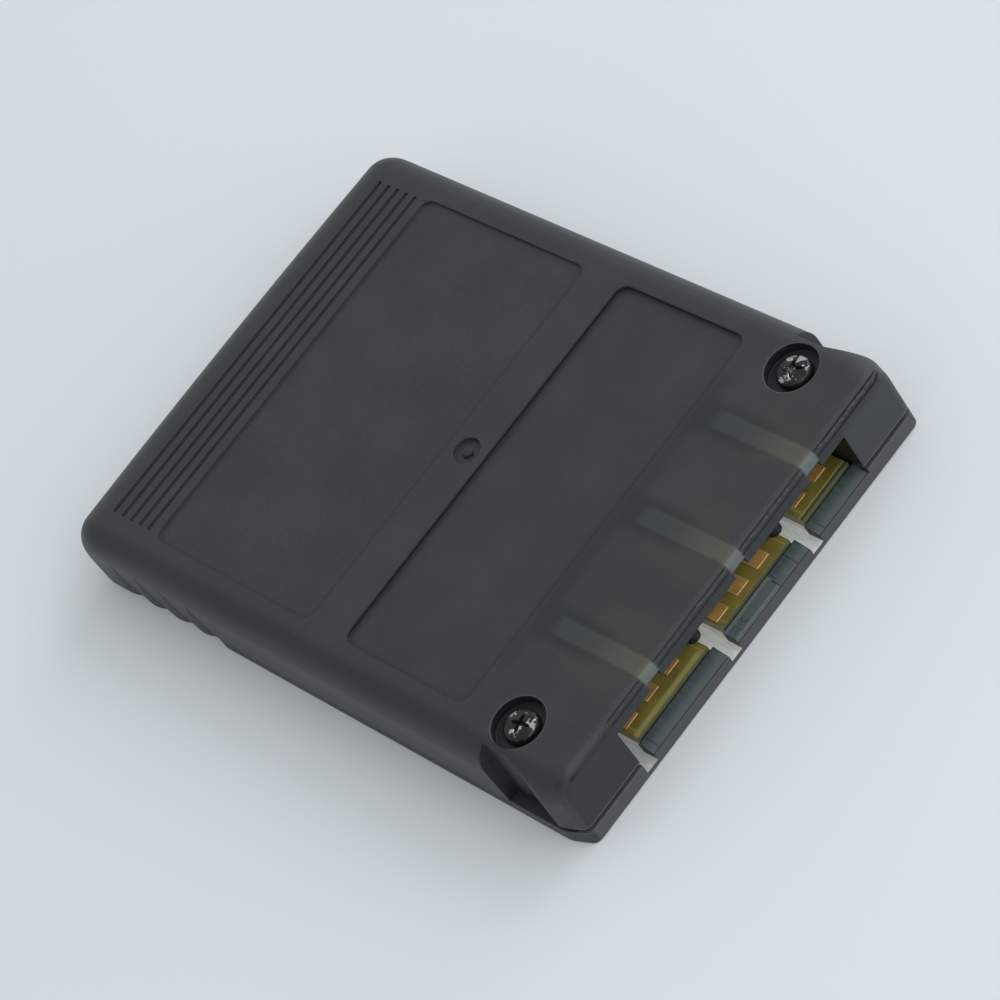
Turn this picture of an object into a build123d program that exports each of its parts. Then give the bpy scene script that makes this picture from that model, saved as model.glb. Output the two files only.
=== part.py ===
from build123d import *
import math
import os

# A flat memory card for a games console, lying with its screw side up. Sizes are in millimetres.
# X runs along the card to the contact end, Y runs across it and Z is up from the face it rests on.
# A setback is a distance from the front of the contact end, measured back along the card.

# Case outline
card_length = 58.3
card_width = 42.0
card_thickness = 7.9
lead_in_length = 2.2
lead_in_depth = 0.75
lead_in_blend = 2.5
grip_end_radius = 4.0
grip_end_bow = 0.3
side_radius = 2.3
front_edge_radius = 0.8
bottom_edge_bevel = 0.1

# Case walls and the seam between the two halves
side_wall = 1.4
roof_thickness = 1.45
seam_height = 0.8
front_seam_height = 2.0
seam_step_setback = 8.05
seam_line_height = 0.12
seam_line_depth = 0.3
shadow_gap_height = 0.5
shadow_gap_depth = 0.5
fit_clearance = 0.15
rim_thickness = 0.9
rim_height = 1.3

# Latch notches in the two long sides
notch_depth = 1.0
notch_floor_length = 2.4
notch_run_out = 3.3
notch_blend = 1.2
notch_draft = 3.0

# Grip lobes in the two long sides
lobe_pitch = 3.15
lobe_valleys = 4
lobe_setback = 41.8
lobe_depth = 0.35
lobe_inset = 0.18
lobe_fade_height = 5.8

# Panels, grooves and the gate mark on the top face
panel_width = 35.7
panel_corner_radius = 1.0
front_panel_setback = 11.95
front_panel_length = 13.5
front_panel_depth = 0.35
rear_panel_setback = 29.5
rear_panel_length = 18.7
rear_panel_depth = 0.2
groove_count = 5
groove_pitch = 1.07
groove_setback = 49.53
groove_length = 35.2
groove_depth = 0.22
groove_ramp = 0.45
gate_setback = 27.45
gate_radius = 1.2
gate_depth = 0.35
gate_nub_radius = 0.4
gate_nub_height = 0.25

# Contact bay
bay_width = 28.25
bay_offset = 0.28
bay_length = 11.3
bay_headroom = 4.1
bay_wall = 1.2
bay_wall_clearance = 0.3
strip_centres = (10.88, 1.55, -9.05)
strip_width = 1.5
strip_length = 10.8
strip_depth = 0.65
lip_height = 1.08
ramp_height = 1.6
slot_centres = (7.65, -2.65, -13.22)
slot_width = 1.25
slot_floor = 0.5
bar_centre = 0.65
bar_width = 5.5
bar_height = 1.5
bar_setback = 0.2
bar_length = 1.2
bar_end_slope = 0.1
hold_peg_radius = 0.65
hold_peg_setback = 3.1
hold_peg_inset = -0.1
hold_peg_gap = 0.2

# Circuit board and its contact pads
board_rest_height = 0.15
board_thickness = 1.0
board_front_setback = 1.6
board_length = 40.0
board_step_gap = 0.25
board_edge_gap = 0.3
board_slot_margin = 0.3
board_corner_radius = 1.5
board_rest_width = 1.2
board_rest_spacing = 9.0
locator_radius = 0.8
locator_height = 1.6
locator_setback = 38.5
locator_edge_distance = 2.75
pad_group_counts = (2, 3, 3)
pad_group_starts = (9.84, -0.85, -11.34)
pad_pitch = 2.56
pad_width = 1.5
pad_length = 6.3
pad_thickness = 0.05
pad_front_setbacks = (2.95, 2.25, 2.95)

# Case screws and the towers that hold them
screw_setback = 6.6
screw_head_radius = 1.5
screw_head_height = 0.95
screw_head_bevel = 0.35
screw_shank_radius = 0.8
screw_length = 4.9
screw_slot_width = 0.5
screw_slot_length = 1.7
screw_slot_depth = 0.55
counterbore_radius = 2.27
counterbore_depth = 1.0
clamp_thickness = 1.3
tower_radius = 1.4
tower_core_wall = 0.8
pilot_clearance = 0.02
pilot_depth = 4.2
pocket_wall = 1.2

# Parts on the board
memory_body = (18.4, 10.2, 1.0)
memory_setback = 27.0
memory_offset = 6.5
memory_lead_count = 12
memory_lead_pitch = 1.27
controller_body = (7.0, 7.0, 1.4)
controller_setback = 20.0
controller_offset = -9.0
controller_lead_count = 6
controller_lead_pitch = 1.0
lead_width = 0.3
lead_thickness = 0.15
lead_reach = 1.0
lead_foot = 0.5
package_standoff = 0.1
crystal_size = (11.2, 4.6, 3.5)
crystal_flange = 0.4
crystal_flange_height = 0.5
crystal_setback = 32.5
crystal_offset = -9.0
regulator_body = (2.9, 1.6, 1.1)
regulator_setback = 39.0
regulator_offset = 4.0
regulator_lead_count = 2
regulator_lead_pitch = 1.9
chip_part_cap = 0.35
chip_part_cap_rise = 0.03
capacitor_size = (2.0, 1.25, 0.9)
capacitor_setback = 14.2
capacitor_offsets = (15.0, 6.0, -1.0, -16.0)
resistor_size = (1.6, 0.8, 0.5)
resistor_setback = 14.2
resistor_offsets = (11.5, 8.9, 2.4, -4.4)

# Places worked out from the sizes above
front = card_length / 2
rear = -card_length / 2
side = card_width / 2
margin = card_thickness
cavity_side = side - side_wall
cavity_roof = card_thickness - roof_thickness
bay_left = bay_offset - bay_width / 2
bay_right = bay_offset + bay_width / 2
bay_rear_setback = bay_length + bay_wall
board_bottom = seam_height + board_rest_height
board_top = board_bottom + board_thickness
bay_roof = board_top + bay_headroom
board_rear_setback = board_front_setback + board_length
board_side = cavity_side - fit_clearance - rim_thickness - board_edge_gap
counterbore_floor = card_thickness - counterbore_depth
tower_top = counterbore_floor - clamp_thickness


def block(x_limits, y_limits, z_limits):
    """A rectangular block between the given limits."""
    limits = (x_limits, y_limits, z_limits)
    centre = [(low + high) / 2 for low, high in limits]
    return Pos(*centre) * Box(*[high - low for low, high in limits])


def setbacks(near, far):
    """X limits of what lies between two setbacks from the front."""
    return (front - far, front - near)


def upright_cylinder(x, y, radius, z_limits):
    """A vertical cylinder between two heights."""
    low, high = z_limits
    return Pos(x, y, (low + high) / 2) * Cylinder(radius, high - low)


def across(profile, y_limits):
    """A profile drawn in X and Z, carried across the card between two Y limits."""
    low, high = y_limits
    face = Plane.XZ * make_face(Polyline(*profile, close=True))
    return Pos(0, high, 0) * extrude(face, high - low)


def both_sides(solid):
    """The solid and its mirror image across the card's centre plane."""
    return [solid, mirror(solid, Plane.XZ)]


def card_form():
    """The outside of the closed case: a lead-in at the contact end, a bowed and rounded grip end, rounded sides."""
    bend_x = front - lead_in_length
    corner_y = side - lead_in_depth
    corner_x = rear + grip_end_bow
    outline = Polyline(
        (corner_x, side), (bend_x, side), (front, corner_y), (front, -corner_y), (bend_x, -side), (corner_x, -side)
    )
    plan = make_face([outline, ThreePointArc((corner_x, -side), (rear, 0), (corner_x, side))])
    bends = plan.vertices().filter_by(lambda v: abs(v.X - bend_x) < fit_clearance)
    form = extrude(fillet(bends, lead_in_blend), card_thickness)
    grip_edge = form.edges().group_by(Axis.Z)[-1].sort_by(Axis.X)[0]
    form = fillet(grip_edge, grip_end_radius)
    side_edges = form.edges().filter_by(Axis.X).group_by(Axis.Z)[-1]
    form = fillet(side_edges, side_radius)
    front_edges = form.faces().sort_by(Axis.X)[-1].edges().sort_by(Axis.Z)[1:]
    form = fillet(front_edges, front_edge_radius)
    bottom_edges = form.faces().sort_by(Axis.Z)[0].edges()
    form = chamfer(bottom_edges, bottom_edge_bevel)
    form -= both_sides(grip_lobe_cut())
    return form


def grip_lobe_cut():
    """What is cut from one long side to leave upright lobes, set in at the bottom and fading out towards the top."""
    lobe_radius = ((lobe_pitch / 2) ** 2 + lobe_depth**2) / (2 * lobe_depth)
    zone_length = lobe_valleys * lobe_pitch
    x_limits = setbacks(lobe_setback, lobe_setback + zone_length)
    heights = (-margin, card_thickness + margin)
    crest_y = side - lobe_inset
    cut = block(x_limits, (crest_y - lobe_depth, side + lobe_depth), heights)
    for crest in range(lobe_valleys + 1):
        x = front - lobe_setback - crest * lobe_pitch
        cut -= upright_cylinder(x, crest_y - lobe_radius, lobe_radius, heights)
    cut += block((rear - margin, x_limits[0]), (crest_y, side + lobe_depth), heights)
    lean = math.degrees(math.atan2(lobe_depth + lobe_inset, lobe_fade_height))
    return Pos(0, side, 0) * Rot(-lean, 0, 0) * Pos(0, -side, 0) * cut


def latch_notch():
    """The notch in one long side: a wall at the grip side, a flat floor and a run-out to the front, with draft."""
    x_wall = front - seam_step_setback
    x_bend = x_wall + notch_floor_length
    y_floor = side - notch_depth
    outline = Polyline(
        (x_wall, side + notch_depth),
        (x_wall, y_floor),
        (x_bend, y_floor),
        (x_bend + 2 * notch_run_out, side + notch_depth),
        close=True,
    )
    plan = make_face(outline)
    bend = plan.vertices().filter_by(lambda v: abs(v.Y - y_floor) < fit_clearance).sort_by(Axis.X)[-1]
    plan = fillet(bend, notch_blend)
    return Pos(0, 0, front_seam_height) * extrude(plan, card_thickness, taper=-notch_draft)


def seam_region():
    """Everything below the seam: a thin layer under the whole card, stepping up near the contact end."""
    y_limits = (-side - margin, side + margin)
    layer = block((rear - margin, front + margin), y_limits, (-margin, seam_height))
    step = block((front - seam_step_setback, front + margin), y_limits, (-margin, front_seam_height))
    return layer + step


def seam_line():
    """The thin recess that shows the seam as a dark line along one side, from the latch notch to the grip lobes."""
    return block(
        setbacks(seam_step_setback, lobe_setback),
        (side - seam_line_depth, side + margin),
        (seam_height, seam_height + seam_line_height),
    )


def screw_centres():
    """Centres of the two screws in plan, midway between the bay and the floors of the latch notches."""
    y = (bay_width / 2 + side - notch_depth) / 2
    return [(front - screw_setback, way * y) for way in (1, -1)]


def hold_peg_centres():
    """Centres of the pegs that keep the board down, each at the edge of a tongue beside a guide slot."""
    inset = slot_width / 2 + board_slot_margin + hold_peg_inset
    return [(front - hold_peg_setback, centre - inset) for centre in slot_centres[:2]]


def main_cavity():
    """The hollow behind the contact bay, rounded over where the grip end is."""
    wall_x = rear + side_wall
    inner_radius = grip_end_radius - side_wall
    profile = make_face(
        Polyline(
            (wall_x, -margin), (wall_x, cavity_roof), (front - bay_rear_setback, cavity_roof),
            (front - bay_rear_setback, -margin), close=True,
        )
    )
    corner = profile.vertices().group_by(Axis.X)[0].sort_by(Axis.Y)[-1]
    face = Plane.XZ * fillet(corner, inner_radius)
    return Pos(0, cavity_side, 0) * extrude(face, 2 * cavity_side)


def corner_pockets():
    """The hollows beside the contact bay: one before and one behind each screw tower, and the tower's square pit."""
    inner_walls = {1: bay_right + pocket_wall, -1: -bay_left + pocket_wall}
    core = tower_radius + fit_clearance + tower_core_wall
    hollows = []
    for x, y in screw_centres():
        way = 1 if y > 0 else -1
        front_y = sorted((way * inner_walls[way], way * (side - notch_depth - pocket_wall)))
        rear_y = sorted((way * inner_walls[way], way * cavity_side))
        hollows.append(block((x + core, front - side_wall), front_y, (-margin, cavity_roof)))
        rear_limits = (front - bay_rear_setback - fit_clearance, front - seam_step_setback - pocket_wall)
        hollows.append(block(rear_limits, rear_y, (-margin, cavity_roof)))
        half = tower_radius + fit_clearance
        hollows.append(block((x - half, x + half), (y - half, y + half), (-margin, tower_top)))
    return hollows


def contact_bay():
    """The open mouth of the contact end, with a thinner strip of roof over each group of pads."""
    mouth_x = (front - bay_length, front + margin)
    hollows = [block(mouth_x, (bay_left, bay_right), (-margin, bay_roof))]
    under_wall = block(
        setbacks(bay_length - fit_clearance, bay_rear_setback + fit_clearance),
        (bay_left, bay_right),
        (-margin, board_top + bay_wall_clearance),
    )
    hollows.append(under_wall)
    for centre in strip_centres:
        y_limits = (centre - strip_width / 2, centre + strip_width / 2)
        strip_x = (front - strip_length, front + margin)
        hollows.append(block(strip_x, y_limits, (bay_roof - fit_clearance, bay_roof + strip_depth)))
    return hollows


def panel_recess(setback, length, depth):
    """A shallow round-cornered panel sunk in the top face."""
    plan = Pos(front - setback - length / 2, 0, card_thickness - depth) * RectangleRounded(
        length, panel_width, panel_corner_radius
    )
    return extrude(plan, depth + margin)


def grip_grooves():
    """Saw-tooth grip grooves in the top face: each falls at a wall on its grip side and ramps back up."""
    cuts = []
    for index in range(groove_count):
        x = front - groove_setback - index * groove_pitch
        bottom = card_thickness - groove_depth
        profile = ((x, card_thickness), (x, bottom), (x + groove_ramp, card_thickness))
        cuts.append(across(profile, (-groove_length / 2, groove_length / 2)))
    return cuts


def gate_mark():
    """The round dimple left where the moulding was filled, and the small nub standing in it."""
    x = front - gate_setback
    floor = card_thickness - gate_depth
    dimple = upright_cylinder(x, 0, gate_radius, (floor, card_thickness + margin))
    nub = upright_cylinder(x, 0, gate_nub_radius, (floor, floor + gate_nub_height))
    return dimple - nub


def upper_shell(form):
    """The screw-side half of the case."""
    shell = form - seam_region() - both_sides(seam_line()) - both_sides(latch_notch())
    shell = shell - main_cavity() - corner_pockets() - contact_bay()
    for x, y in hold_peg_centres():
        shell += upright_cylinder(x, y, hold_peg_radius, (board_top + hold_peg_gap, bay_roof + fit_clearance))
    shell -= panel_recess(front_panel_setback, front_panel_length, front_panel_depth)
    shell -= panel_recess(rear_panel_setback, rear_panel_length, rear_panel_depth)
    shell -= grip_grooves()
    shell -= gate_mark()
    hole_radius = screw_shank_radius + fit_clearance
    for x, y in screw_centres():
        shell -= upright_cylinder(x, y, counterbore_radius, (counterbore_floor, card_thickness + margin))
        shell -= upright_cylinder(x, y, hole_radius, (tower_top - margin, counterbore_floor + fit_clearance))
    return shell


def shadow_gap():
    """The recess that runs round the front corners just under the seam."""
    low = front_seam_height - shadow_gap_height
    return block(
        (front - seam_step_setback, front + margin), (-side - margin, side + margin), (low, card_thickness)
    )


def inset_form(form):
    """The front corners inside the recess, drawn in from the outline by its depth."""
    kept = block(
        (front - seam_step_setback, front - shadow_gap_depth),
        (-side + lead_in_depth + shadow_gap_depth, side - lead_in_depth - shadow_gap_depth),
        (-margin, front_seam_height),
    )
    return form & kept


def front_trough():
    """What is cut away over the board's place at the contact end, leaving the ramps and the lip."""
    ramp_x = front - board_front_setback + fit_clearance
    rear_x = front - seam_step_setback - margin
    above = front_seam_height + margin
    profile = (
        (front + margin, lip_height), (front, lip_height), (ramp_x, ramp_height), (ramp_x, seam_height),
        (rear_x, seam_height), (rear_x, above), (front + margin, above),
    )
    return across(profile, (bay_left, bay_right + fit_clearance))


def raised_bar():
    """The low bar with sloping ends that stands on the middle ramp."""
    half = bar_width / 2
    profile = make_face(
        Polyline(
            (bar_centre - half, slot_floor), (bar_centre - half, lip_height),
            (bar_centre - half + bar_end_slope, bar_height), (bar_centre + half - bar_end_slope, bar_height),
            (bar_centre + half, lip_height), (bar_centre + half, slot_floor), close=True,
        )
    )
    return Pos(front - bar_setback - bar_length, 0, 0) * extrude(Plane.YZ * profile, bar_length)


def rim():
    """The low wall on the lower half that fits inside the upper half's sides."""
    outer = cavity_side - fit_clearance
    x_rear = rear + side_wall + fit_clearance
    x_front = front - bay_rear_setback - fit_clearance
    z_limits = (seam_height, seam_height + rim_height)
    wall = block((x_rear, x_front), (-outer, outer), z_limits)
    inner = outer - rim_thickness
    return wall - block((x_rear + rim_thickness, x_front + margin), (-inner, inner), z_limits)


def board_rests():
    """The low ribs along the floor that the board lies on."""
    x_limits = setbacks(bay_rear_setback, board_rear_setback)
    ribs = []
    for step in (-1, 0, 1):
        y = step * board_rest_spacing
        y_limits = (y - board_rest_width / 2, y + board_rest_width / 2)
        ribs.append(block(x_limits, y_limits, (seam_height, board_bottom)))
    return ribs


def locator_centres():
    """Centres of the two pegs that place the board, near its long edges."""
    return [(front - locator_setback, way * (board_side - locator_edge_distance)) for way in (1, -1)]


def lower_shell(form):
    """The label-side half of the case."""
    layer = form & seam_region()
    shell = layer - shadow_gap() + inset_form(form)
    shell -= front_trough()
    shell += raised_bar()
    for centre in slot_centres:
        y_limits = (centre - slot_width / 2, centre + slot_width / 2)
        shell -= block((front - seam_step_setback, front + margin), y_limits, (slot_floor, card_thickness))
    shell += rim()
    shell += board_rests()
    for x, y in locator_centres():
        shell += upright_cylinder(x, y, locator_radius, (seam_height, seam_height + locator_height))
    for x, y in screw_centres():
        shell += upright_cylinder(x, y, tower_radius, (seam_height, tower_top))
        pilot_radius = screw_shank_radius + pilot_clearance
        shell -= upright_cylinder(x, y, pilot_radius, (tower_top - pilot_depth, tower_top + margin))
    return shell


def case_screw(x, y):
    """A pan-head screw with a cross recess, its head seated on the counterbore's floor."""
    head_top = counterbore_floor + screw_head_height
    head = upright_cylinder(x, y, screw_head_radius, (counterbore_floor, head_top))
    head = chamfer(head.edges().sort_by(Axis.Z)[-1], screw_head_bevel)
    for turn in (0, 90):
        bar = Box(screw_slot_length, screw_slot_width, 2 * screw_slot_depth)
        head -= Pos(x, y, head_top) * Rot(0, 0, turn) * bar
    shank = upright_cylinder(x, y, screw_shank_radius, (counterbore_floor - screw_length, counterbore_floor))
    return head + shank


def circuit_board():
    """The board: three tongues at the contact end and a wider part behind them."""
    tip_x = front - board_front_setback
    step_x = front - bay_rear_setback - board_step_gap
    rear_x = front - board_rear_setback
    wide = RectangleRounded(step_x - rear_x, 2 * board_side, board_corner_radius)
    plan = Pos((step_x + rear_x) / 2, 0) * wide
    tongue_high = bay_right - fit_clearance
    tongue_low = bay_left + fit_clearance
    neck_x = step_x - board_corner_radius
    neck = Rectangle(tip_x - neck_x, tongue_high - tongue_low)
    plan += Pos((tip_x + neck_x) / 2, (tongue_high + tongue_low) / 2) * neck
    slot_length = seam_step_setback - board_front_setback
    for centre in slot_centres:
        gap = Rectangle(slot_length + margin, slot_width + 2 * board_slot_margin)
        plan -= Pos(tip_x - slot_length + (slot_length + margin) / 2, centre) * gap
    for x, y in locator_centres():
        plan -= Pos(x, y) * Circle(locator_radius + fit_clearance)
    return Pos(0, 0, board_bottom) * extrude(plan, board_thickness)


def contact_pads():
    """The plated pads, from the right of the card to the left."""
    pads = []
    for count, lowest, near in zip(pad_group_counts, pad_group_starts, pad_front_setbacks):
        for index in reversed(range(count)):
            y = lowest + index * pad_pitch
            y_limits = (y - pad_width / 2, y + pad_width / 2)
            z_limits = (board_top, board_top + pad_thickness)
            pads.append(block(setbacks(near, near + pad_length), y_limits, z_limits))
    return pads


def gull_wing_lead(body_height):
    """One lead of a flat package, reaching out along X from the body's side and down to the board."""
    shoulder = package_standoff + body_height / 2
    bend = lead_reach - lead_foot
    outline = Polyline(
        (-lead_thickness, shoulder),
        (bend - lead_thickness, shoulder),
        (bend - lead_thickness, 0),
        (lead_reach, 0),
        (lead_reach, lead_thickness),
        (bend, lead_thickness),
        (bend, shoulder + lead_thickness),
        (-lead_thickness, shoulder + lead_thickness),
        close=True,
    )
    return Pos(0, lead_width / 2, 0) * extrude(Plane.XZ * make_face(outline), lead_width)


def flat_package(body_size, leads, pitch, sides):
    """A flat chip package with a row of leads on each of the given sides, centred over the origin."""
    length, width, height = body_size
    body = block((-length / 2, length / 2), (-width / 2, width / 2), (package_standoff, package_standoff + height))
    reach = {0: length / 2, 90: width / 2, 180: length / 2, 270: width / 2}
    lead = gull_wing_lead(height)
    rows = []
    for turn in sides:
        for index in range(leads):
            offset = (index - (leads - 1) / 2) * pitch
            rows.append(Rot(0, 0, turn) * Pos(reach[turn], offset, 0) * lead)
    return body + rows


def clock_crystal():
    """The crystal: a drawn metal can on a wider base flange."""
    length, width, height = crystal_size
    flange = extrude(SlotOverall(length, width), crystal_flange_height)
    can = extrude(SlotOverall(length - 2 * crystal_flange, width - 2 * crystal_flange), height)
    can = chamfer(can.edges().group_by(Axis.Z)[-1], crystal_flange)
    return flange + can


def chip_part(size):
    """A small ceramic part with a plated cap round each end."""
    length, width, height = size
    rise = chip_part_cap_rise
    body = block((-length / 2, length / 2), (-width / 2 + rise, width / 2 - rise), (rise, height - rise))
    caps = []
    for way in (1, -1):
        x_limits = sorted((way * length / 2, way * (length / 2 - chip_part_cap)))
        caps.append(block(x_limits, (-width / 2, width / 2), (0, height)))
    return body + caps


def on_board(setback, offset):
    """The place on the board's top face at a setback and an offset across the card."""
    return Pos(front - setback, offset, board_top)


def card_parts():
    """Every piece of the card by name."""
    form = card_form()
    memory = flat_package(memory_body, memory_lead_count, memory_lead_pitch, (90, 270))
    all_round = (0, 90, 180, 270)
    controller = flat_package(controller_body, controller_lead_count, controller_lead_pitch, all_round)
    regulator = flat_package(regulator_body, regulator_lead_count, regulator_lead_pitch, (90, 270))
    parts = {
        "upper_shell": upper_shell(form),
        "lower_shell": lower_shell(form),
        "case_screws": Compound([case_screw(x, y) for x, y in screw_centres()]),
        "circuit_board": circuit_board(),
        "memory_chip": on_board(memory_setback, memory_offset) * memory,
        "controller_chip": on_board(controller_setback, controller_offset) * controller,
        "clock_crystal": on_board(crystal_setback, crystal_offset) * clock_crystal(),
        "voltage_regulator": on_board(regulator_setback, regulator_offset) * regulator,
    }
    for number, pad in enumerate(contact_pads(), 1):
        parts[f"contact_pad_{number}"] = pad
    for number, offset in enumerate(capacitor_offsets, 1):
        parts[f"capacitor_{number}"] = on_board(capacitor_setback, offset) * chip_part(capacitor_size)
    for number, offset in enumerate(resistor_offsets, 1):
        parts[f"resistor_{number}"] = on_board(resistor_setback, offset) * chip_part(resistor_size)
    return parts


os.makedirs("parts", exist_ok=True)
for name, solid in card_parts().items():
    export_step(solid, f"parts/{name}.step")
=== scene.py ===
import math

import bmesh
import bpy
import numpy as np
from bpy.props import FloatProperty, FloatVectorProperty, PointerProperty
from bpy.types import Operator, Panel, PropertyGroup
from mathutils import Matrix, Vector


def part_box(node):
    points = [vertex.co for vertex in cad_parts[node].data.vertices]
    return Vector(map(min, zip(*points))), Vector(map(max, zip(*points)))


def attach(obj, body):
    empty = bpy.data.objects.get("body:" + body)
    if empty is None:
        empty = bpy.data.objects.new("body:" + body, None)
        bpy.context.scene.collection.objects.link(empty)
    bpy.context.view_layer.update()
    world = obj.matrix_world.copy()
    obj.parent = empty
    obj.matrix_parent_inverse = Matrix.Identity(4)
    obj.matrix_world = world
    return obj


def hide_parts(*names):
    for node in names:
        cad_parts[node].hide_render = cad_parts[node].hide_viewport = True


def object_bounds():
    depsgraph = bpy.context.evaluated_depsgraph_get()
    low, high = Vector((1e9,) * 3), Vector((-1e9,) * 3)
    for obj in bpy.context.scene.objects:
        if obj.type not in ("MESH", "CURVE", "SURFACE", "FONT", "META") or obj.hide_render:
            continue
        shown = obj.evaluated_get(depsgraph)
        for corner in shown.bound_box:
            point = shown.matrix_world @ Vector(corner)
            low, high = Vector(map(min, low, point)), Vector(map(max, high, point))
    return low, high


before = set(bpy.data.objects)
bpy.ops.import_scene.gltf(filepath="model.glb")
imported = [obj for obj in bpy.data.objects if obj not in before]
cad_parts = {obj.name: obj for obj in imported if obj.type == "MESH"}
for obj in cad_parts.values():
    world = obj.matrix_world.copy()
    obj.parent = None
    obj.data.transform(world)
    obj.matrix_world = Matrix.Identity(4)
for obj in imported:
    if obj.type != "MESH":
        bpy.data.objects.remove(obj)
cad_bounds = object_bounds()

bl_info = {
    "name": "Memory Card Dressing",
    "version": (1, 0, 0),
    "blender": (4, 5, 0),
    "location": "3D View > Sidebar > Memory Card",
    "description": "Finishes, small moulded details and a studio for a console memory card",
    "category": "Object",
}

MM = 0.001
PER_MM = 1000.0
TURN = 2 * math.pi

# Corners of the CAD pieces that the details are set from, in metres
case_high = np.array(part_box("upper_shell")[1])
floor_high = np.array(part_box("lower_shell")[1])
screw_low, screw_high = (np.array(corner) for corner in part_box("case_screws"))
board_high = np.array(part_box("circuit_board")[1])

# Names of the pieces that repeat
pad_names = [f"contact_pad_{number}" for number in range(1, 9)]
capacitor_names = [f"capacitor_{number}" for number in range(1, 5)]
resistor_names = [f"resistor_{number}" for number in range(1, 5)]

# Places of moulded features in the CAD, in millimetres
strip_centres = (10.88, 1.55, -9.05)
slot_centres = (7.65, -2.65, -13.22)
groove_setback = 49.53
groove_pitch = 1.07
lobe_setback = 41.8
lobe_pitch = 3.15
groove_end = 53.9
groove_half_length = 17.3
panel_half_width = 17.85
panel_corner = 1.0
front_panel_near = 11.95
front_panel_far = 25.45
rear_panel_near = 29.5
rear_panel_far = 48.2
bay_left = -13.9
bay_right = 14.4
screw_head_radius = 1.5
screw_well_radius = 2.3
shoulder_y = 18.7
shoulder_z = 5.6
front_edge_radius = 0.8
seam_near = 8.1
seam_far = 41.9
pad_group_ends = ((9.0, 13.2), (-1.6, 5.0), (-12.1, -5.4))

# Axis of a screw: how far it is from the contact end and from the card's middle line, in millimetres
screw_setback = (case_high[0] - (screw_low[0] + screw_high[0]) / 2) * PER_MM
screw_centre_y = screw_high[1] * PER_MM - screw_head_radius

# Radius of the rounded long sides, in metres
side_radius = 2.3 * MM


def a_length(name, description, default):
    """A length property, in metres."""
    return FloatProperty(name=name, description=description, default=default, unit="LENGTH", precision=5)


def a_share(name, description, default):
    """A property between 0 and 1."""
    return FloatProperty(
        name=name, description=description, default=default, min=0.0, max=1.0, subtype="FACTOR"
    )


def an_angle(name, description, default):
    """An angle property, in radians."""
    return FloatProperty(name=name, description=description, default=default, subtype="ANGLE")


def a_power(name, description, default):
    """A lamp's power, in watts."""
    return FloatProperty(name=name, description=description, default=default, unit="POWER")


def a_place(name, description, default):
    """A place, in metres."""
    return FloatVectorProperty(name=name, description=description, default=default, subtype="XYZ")


def a_colour(name, description, default):
    """A linear colour property."""
    return FloatVectorProperty(name=name, description=description, default=default, size=3, subtype="COLOR")


class CardPlasticSettings(PropertyGroup):
    """Smoked plastic of the two case halves."""

    deep_colour: a_colour("Deep colour", "Darker tone of the smoked plastic", (0.024, 0.032, 0.033))
    pale_colour: a_colour("Pale colour", "Paler, warmer tone of the smoked plastic", (0.034, 0.037, 0.041))
    # Painted light: the roof strips are tinted as if the lit bay showed through the thin plastic, with a
    # bluish painted highlight on their rounded tips
    strip_rear_colour: a_colour("Strip rear", "Thin roof strip at its inner end", (0.036, 0.047, 0.048))
    strip_front_colour: a_colour("Strip front", "Thin roof strip near the contact end", (0.086, 0.084, 0.066))
    strip_tip_colour: a_colour("Strip tip", "Rounded tip of a thin roof strip", (0.105, 0.124, 0.12))
    # Painted light: warm tint as if the lit pads showed through the roof
    pad_glow_colour: a_colour("Pad glow", "Warm tint of the roof above the pads", (0.046, 0.042, 0.036))
    # Painted shade: near-black laid in creases, grooves, recesses, wells and inside the bay where shade
    # falls; the ramps' scratches share it
    shade_and_scratch_colour: a_colour("Crease", "Near black of creases and the bay's inside", (0.006, 0.008, 0.009))
    edge_colour: a_colour("Edge", "Pale line where a moulded edge catches the light", (0.1, 0.106, 0.106))
    # Painted shade: the ramps are darker towards the board, under the roof, and paler towards the open lip
    ramp_deep_colour: a_colour("Ramp rear", "Dark green grey near the board", (0.031, 0.049, 0.05))
    ramp_colour: a_colour("Ramp", "Green grey of the ramps before the board", (0.054, 0.079, 0.08))
    ramp_pale_colour: a_colour("Ramp front", "Paler green grey near the lip", (0.09, 0.113, 0.113))
    # Painted light: the slot floors are painted pale and made to glow, as if light came up through the thin
    # plastic
    slot_light_colour: a_colour("Slot floor", "Pale thin floor of the guide slots", (0.7, 0.72, 0.7))
    slot_glow: a_share("Slot glow", "Light that comes up through the thin slot floors", 0.25)
    lip_colour: a_colour("Lip", "Front face of the lower half", (0.062, 0.064, 0.067))
    roughness: a_share("Roughness", "Mean roughness of the matt plastic", 0.48)
    edge_softness: a_length("Edge softness", "Radius that the shading rounds the sharp edges by", 0.12 * MM)


class CardContactSettings(PropertyGroup):
    """Circuit board and its plated pads."""

    laminate_colour: a_colour("Laminate", "Olive lacquer over the board", (0.31, 0.255, 0.06))
    # Painted highlight: pale lines along the board's edges
    edge_highlight_colour: a_colour("Laminate edge", "Paler line along the board's edges", (0.5, 0.46, 0.17))
    plating_colour: a_colour("Plating", "Worn gold of the pads", (0.9, 0.52, 0.17))
    # Painted shade: dark green grey on the board's cut front face and over the right tongue's front strip
    front_face_shade_colour: a_colour("Cut edge", "Dark green grey of the board's cut front edge", (0.1, 0.105, 0.06))
    # Painted highlight: brighter gold on the raised rims round the pads
    rim_highlight_colour: a_colour("Pad rim", "Bright gold at the pads' edges", (0.95, 0.68, 0.3))
    rim_width: a_length("Rim width", "Width of the raised rim round a pad", 0.11 * MM)
    rim_height: a_length("Rim height", "Height of the rim above the pad", 0.03 * MM)


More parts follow.
